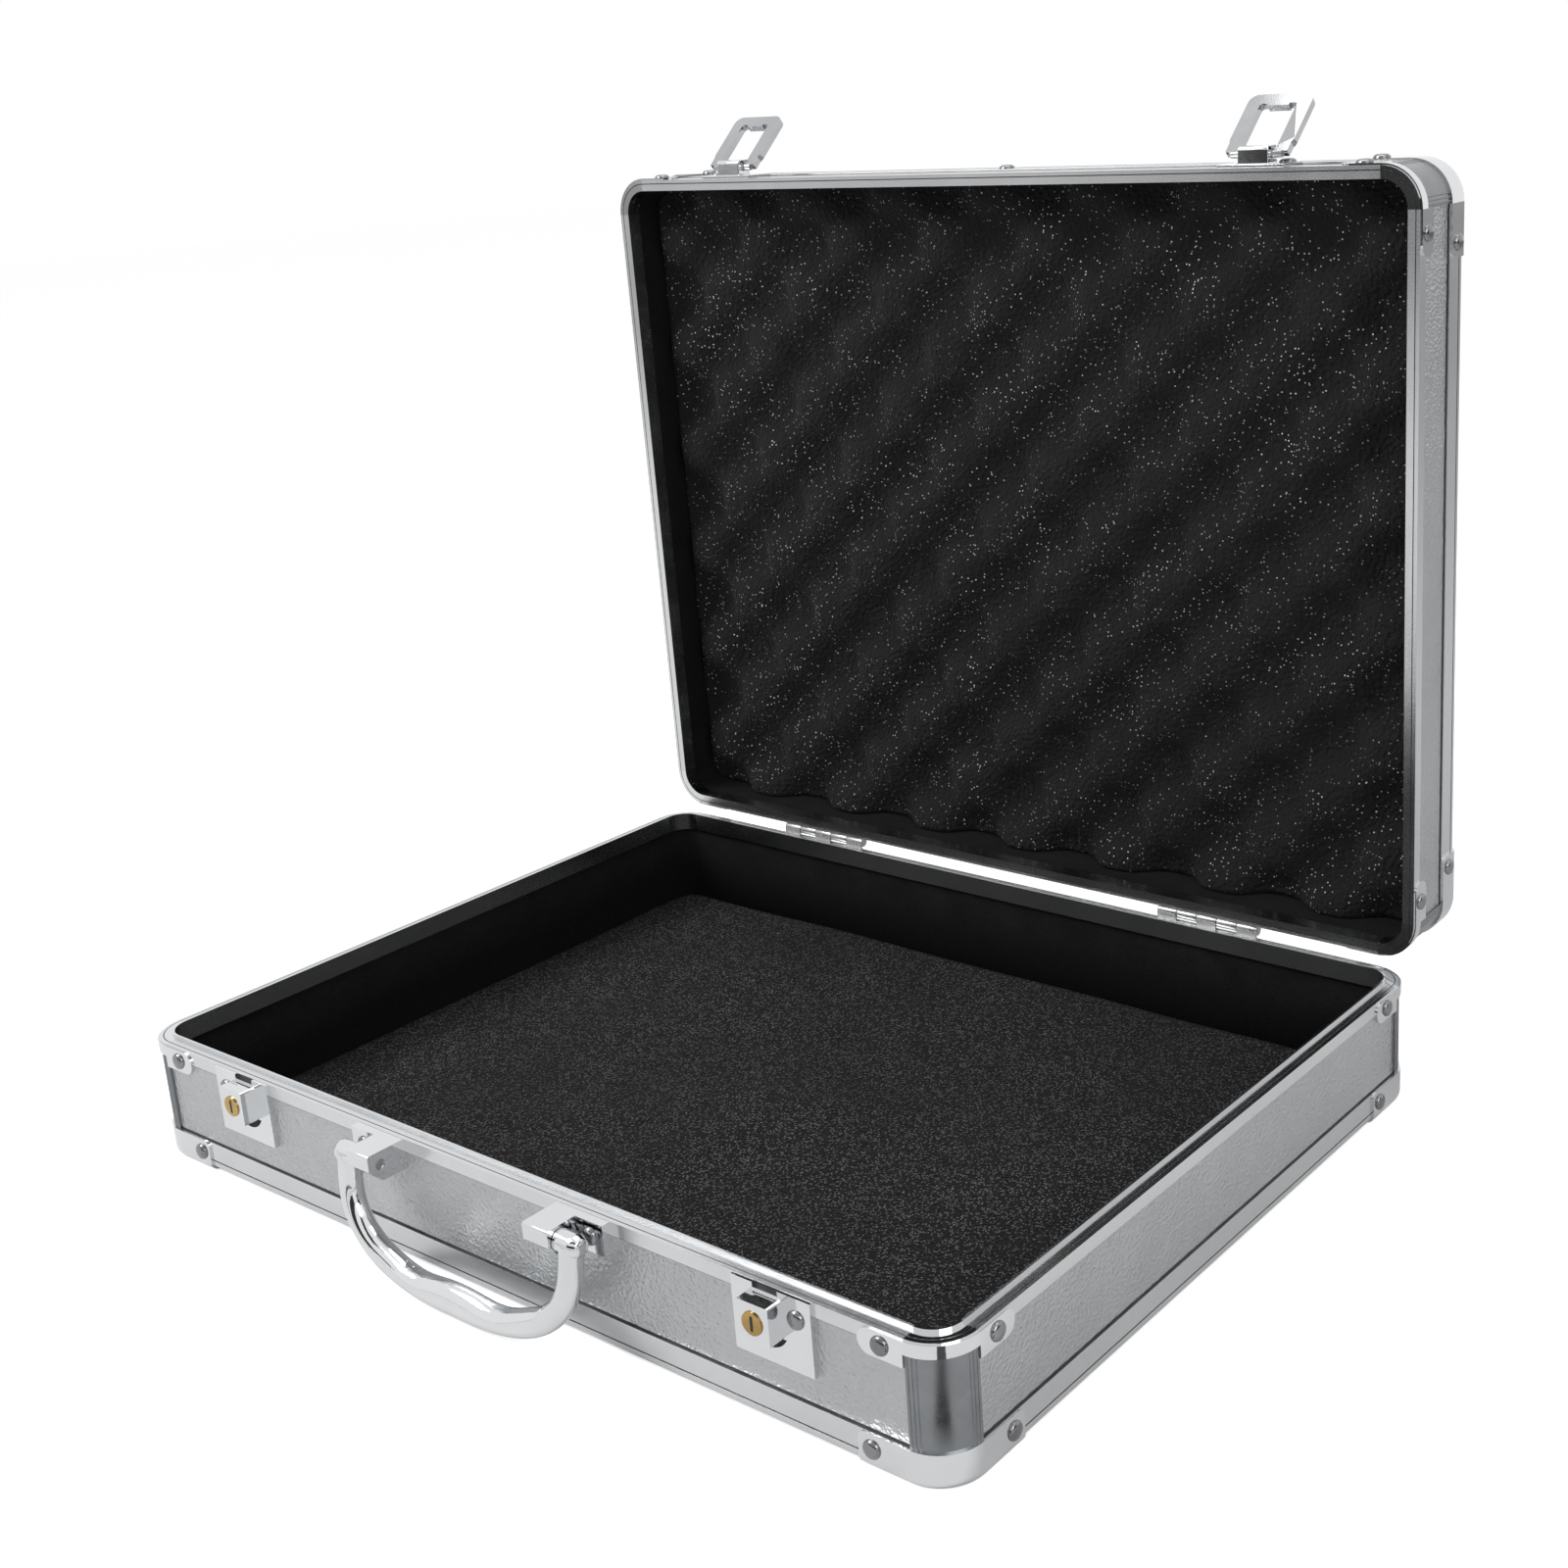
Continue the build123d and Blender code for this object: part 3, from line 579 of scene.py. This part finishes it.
def finish_for(name):
    """The material of one of the frame's own pieces."""
    if name.endswith("_panel"):
        return pebbled_skin
    if "extrusions" in name:
        return satin_extrusion
    if "corner_posts" in name:
        return satin_post
    if "hasp_loop" in name:
        return hasp_chrome
    if "key_cylinder" in name:
        return turned_brass
    if "leaf" in name or "pin" in name or "cam" in name:
        return zinc_steel
    return bright_chrome


def paint_frame():
    """Gives every piece of the frame its material."""
    for name, piece in node.items():
        piece.data.materials.clear()
        piece.data.materials.append(finish_for(name))


def ease_edges(name, width):
    """Rounds the sharp edges of a plate from the frame, so that they catch the light."""
    join = node[name].modifiers.new("joined corners", "WELD")
    join.merge_threshold = 0.000004
    round_off = node[name].modifiers.new("eased edges", "BEVEL")
    round_off.width = width
    round_off.segments = 3
    round_off.limit_method = "ANGLE"
    round_off.angle_limit = math.radians(40)


# Handle grip


GRIP_HALF = 42 * MM
GROOVE_PLACE = 21 * MM
GROOVE_DEPTH = 2.2 * MM


def groove_at(x):
    """How deep the finger grooves either side of the palm swell are, from 0 to 1."""
    spread = (abs(x) - GROOVE_PLACE) / (0.24 * GRIP_HALF)
    return math.exp(-spread * spread)


def shaped_handle():
    """The bail with two finger grooves along the upper side of its grip."""
    mesh = bmesh.new()
    mesh.from_mesh(node["handle"].data)
    bmesh.ops.remove_doubles(mesh, verts=mesh.verts, dist=0.000002)
    for edge in mesh.edges:
        edge.smooth = edge.calc_face_angle(0.0) < math.radians(38)
    long_edges = [edge for edge in mesh.edges if edge.calc_length() > 0.0035]
    bmesh.ops.subdivide_edges(mesh, edges=long_edges, cuts=3)
    bmesh.ops.triangulate(mesh, faces=mesh.faces)
    mesh.normal_update()
    moves = []
    for vertex in mesh.verts:
        upward = max(0.0, vertex.normal.z)
        if abs(vertex.co.x) < GRIP_HALF:
            moves.append((vertex, vertex.normal * (-GROOVE_DEPTH * groove_at(vertex.co.x) * upward)))
    for vertex, move in moves:
        vertex.co += move
    grip = finish_piece("shaped_handle", mesh, bright_chrome, "handle")
    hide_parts("handle")


# Key slots and lock recesses, in painted shade


# Size of the dark box of painted shade in each key slot, how far proud it stands, and its rounding
SLOT_SIZE = (0.0010, 0.0002, 0.0052)
SLOT_PROUD = 0.00002
SLOT_ROUNDING = 0.00009


def keyway_painted_shade(side):
    """Painted shade: a thin dark box standing for the shade inside the slot that a flat key enters, on the
    front of the brass cylinder.
    """
    low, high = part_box(f"{side}_key_cylinder")
    middle = ((low[0] + high[0]) / 2, low[1] - SLOT_PROUD, (low[2] + high[2]) / 2)
    mesh = bmesh.new()
    bmesh.ops.create_cube(mesh, size=1)
    bmesh.ops.scale(mesh, vec=SLOT_SIZE, verts=mesh.verts)
    bmesh.ops.bevel(
        mesh, geom=mesh.edges[:], offset=SLOT_ROUNDING, segments=2, profile=0.5, affect="EDGES",
        material=-1,
    )
    bmesh.ops.translate(mesh, vec=middle, verts=mesh.verts)
    slot = finish_piece(f"{side}_keyway_painted_shade", mesh, black_and_painted_shade, f"{side}_key")


def recess_shade(mesh, width, height, place):
    """Painted shade: a thin dark backing, upright, behind one opening of a lock plate."""
    sheet = bmesh.ops.create_grid(mesh, x_segments=1, y_segments=1, size=0.5)["verts"]
    bmesh.ops.scale(mesh, vec=(width, height, 1), verts=sheet)
    bmesh.ops.transform(mesh, matrix=Matrix.Rotation(math.pi / 2, 4, "X"), verts=sheet)
    bmesh.ops.translate(mesh, vec=place, verts=sheet)


# Painted shade behind the lock plates' openings: width, height, how far behind the front of the base, and
# height of the middle
HALF_MOON_SHADE = (16.0 * MM, 6.0 * MM, 0.72 * MM, 31.6 * MM)
SLOT_SHADE = (10.6 * MM, 2.2 * MM, -0.06 * MM, 48.6 * MM)


def lock_painted_shade(side, across):
    """Painted shade: dark backings of the half-moon below the lock box and of the slot above it, where
    shade falls in these recesses.
    """
    mesh = bmesh.new()
    for width, height, behind, middle in (HALF_MOON_SHADE, SLOT_SHADE):
        recess_shade(mesh, width, height, (across, CASE_FRONT + behind, middle))
    recesses = finish_piece(f"{side}_lock_painted_shade", mesh, black_and_painted_shade, "base", smooth=False)
    depth = recesses.modifiers.new("recess depth", "SOLIDIFY")
    depth.thickness = 0.00008


# Room


def floor_material():
    """A pale floor that shows near white and keeps the shadow."""
    material, tree, shader = start_material("studio floor", 0.0)
    drift = add_group(tree, marks, Scale=3.0, Low=0.0, High=1.0)
    colour = two_colours(tree, drift.outputs["Value"], (0.90, 0.90, 0.90), (0.89, 0.89, 0.89))
    tree.links.new(colour, shader.inputs["Base Color"])
    shader.inputs["Roughness"].default_value = 0.9
    shader.inputs["Specular IOR Level"].default_value = 0.1
    ray = tree.nodes.new("ShaderNodeLightPath")
    lift = tree.nodes.new("ShaderNodeMath")
    lift.operation = "MULTIPLY"
    lift.inputs[1].default_value = 0.66
    shader.inputs["Emission Color"].default_value = (1, 1, 1, 1)
    tree.links.new(ray.outputs["Is Camera Ray"], lift.inputs[0])
    tree.links.new(lift.outputs[0], shader.inputs["Emission Strength"])
    return material


def floor():
    """The floor of the room."""
    mesh = bmesh.new()
    bmesh.ops.create_grid(mesh, x_segments=2, y_segments=2, size=6)
    ground = add_mesh("floor", mesh, floor_material())


def dark_card(name, size, place, aim, spin=0):
    """A black card beside the lamps, seen only in the polished metal."""
    mesh = bmesh.new()
    bmesh.ops.create_grid(mesh, x_segments=1, y_segments=1, size=0.5)
    bmesh.ops.scale(mesh, vec=(size[0], size[1], 1), verts=mesh.verts)
    turn = (Vector(aim) - Vector(place)).to_track_quat("Z", "Y").to_matrix().to_4x4()
    turn = Matrix.Rotation(math.radians(spin), 4, "Z") @ turn
    bmesh.ops.transform(mesh, matrix=Matrix.Translation(place) @ turn, verts=mesh.verts)
    card = add_mesh(name, mesh, black_and_painted_shade)
    card.visible_camera = False
    card.visible_shadow = False
    card.visible_diffuse = False


def lamp(name, place, aim, size, power):
    """A soft rectangular lamp."""
    data = bpy.data.lights.new(name, "AREA")
    data.shape = "RECTANGLE"
    data.size, data.size_y = size
    data.energy = power
    light = bpy.data.objects.new(name, data)
    light.location = place
    light.rotation_euler = (Vector(aim) - Vector(place)).to_track_quat("-Z", "Y").to_euler()
    bpy.context.scene.collection.objects.link(light)


def world():
    """Soft light all round, and white where it is seen or mirrored."""
    studio = bpy.data.worlds.new("studio")
    bpy.context.scene.world = studio
    studio.use_nodes = True
    nodes, links = studio.node_tree.nodes, studio.node_tree.links
    soft = nodes["Background"]
    soft.inputs["Color"].default_value = (1, 1, 1, 1)
    soft.inputs["Strength"].default_value = 0.34
    white = nodes.new("ShaderNodeBackground")
    white.inputs["Color"].default_value = (1, 1, 1, 1)
    ray = nodes.new("ShaderNodeLightPath")
    seen = nodes.new("ShaderNodeMath")
    seen.operation = "MAXIMUM"
    either = nodes.new("ShaderNodeMath")
    either.operation = "MAXIMUM"
    mix = nodes.new("ShaderNodeMixShader")
    links.new(ray.outputs["Is Camera Ray"], seen.inputs[0])
    links.new(ray.outputs["Is Glossy Ray"], seen.inputs[1])
    links.new(seen.outputs[0], either.inputs[0])
    links.new(ray.outputs["Is Transmission Ray"], either.inputs[1])
    links.new(either.outputs[0], mix.inputs["Fac"])
    links.new(soft.outputs[0], mix.inputs[1])
    links.new(white.outputs[0], mix.inputs[2])
    links.new(mix.outputs[0], nodes["World Output"].inputs["Surface"])


EYE = (0.5212, -0.5437 + SHIFT_Y, 0.3926)
EYE_RIGHT = (0.7990, 0.5993, -0.0497)
EYE_AHEAD = (-0.5854, 0.7562, -0.2923)


def camera():
    """The viewing angle of the photograph."""
    data = bpy.data.cameras.new("camera")
    data.lens = 47.46
    data.sensor_width = 36
    data.shift_x = -0.1139
    data.shift_y = -0.0416
    data.clip_start = 0.01
    eye = bpy.data.objects.new("camera", data)
    right = Vector(EYE_RIGHT).normalized()
    ahead = Vector(EYE_AHEAD).normalized()
    up = right.cross(ahead)
    turn = Matrix((right, up, -ahead)).transposed().to_4x4()
    eye.matrix_world = Matrix.Translation(EYE) @ turn
    bpy.context.scene.collection.objects.link(eye)
    bpy.context.scene.camera = eye


# The scene


RIVETS = (
    ("base_corner_rivets", "base"), ("lid_corner_rivets", "lid"), ("lid_joint_rivets", "lid"),
    ("handle_rivets", "base"), ("hasp_rivets", "lid"), ("lock_rivets", "base"),
    ("hinge_base_rivets", "base"), ("hinge_lid_rivets", "lid"),
)
EASED_PLATES = (
    ("lock_plate", 0.35 * MM), ("hasp_plate", 0.35 * MM), ("handle_bracket", 0.40 * MM),
    ("hasp_loop", 0.70 * MM), ("hinge_base_leaf", 0.20 * MM), ("hinge_lid_leaf", 0.20 * MM),
)
BASE_PLACE = Matrix.Translation((0, SHIFT_Y, 0))

paint_frame()
lid_foam()
floor_pad()
wall_felt(
    "base_wall_felt", "base_felt_lining", "base", FELT_LOW, BASE_FELT_TOP, BASE_PLACE
)
wall_felt("lid_wall_felt", "lid_felt_lining", "lid", FELT_LOW, LID_FELT_TOP, lid_place())
for rivet_name, rivet_body in RIVETS:
    round_rivets(rivet_name, rivet_body)
# Painted shade in the joints and grooves of the base and the lid
painted_seam_shade("base_seam_lines", "base", BASE_HEIGHT_MM, BASE_PLACE)
painted_seam_shade("lid_seam_lines", "lid", LID_HEIGHT_MM, lid_place())
for side in ("left", "right"):
    for plate, edge_width in EASED_PLATES:
        ease_edges(f"{side}_{plate}", edge_width)
shaped_handle()
# Painted shade in each key slot and behind the openings of each lock plate
for side, across in (("left", -LOCK_PLACE), ("right", LOCK_PLACE)):
    keyway_painted_shade(side)
    lock_painted_shade(side, across)

floor()
world()
camera()
lamp("key light", place=(-0.9, -0.9, 1.5), aim=(0, 0, 0.1), size=(0.8, 0.8), power=19)
lamp("fill light", place=(1.4, -0.6, 1.0), aim=(0, 0, 0.15), size=(1.0, 0.8), power=6)
lamp("top light", place=(0.0, 0.3, 1.9), aim=(0, 0, 0), size=(1.4, 1.0), power=8)
dark_card(
    "corner dark card", size=(0.024, 0.30), place=(0.3255, -0.2675, 0.002),
    aim=(0.3255, -0.2675, 1.0), spin=52,
)
dark_card(
    "handle dark card", size=(0.60, 0.07), place=(-0.05, -0.40, 0.002), aim=(-0.05, -0.40, 1.0),
    spin=0,
)
dark_card("low dark card", size=(2.4, 0.5), place=(0.2, -1.6, 0.35), aim=(0, 0, 0.05))
dark_card("side dark card", size=(1.4, 0.7), place=(1.9, 0.2, 0.5), aim=(0, 0, 0.1))
dark_card("overhead dark card", size=(1.6, 0.4), place=(0.3, -1.1, 1.3), aim=(0, 0, 0.1))

bpy.context.scene.view_settings.view_transform = "Standard"
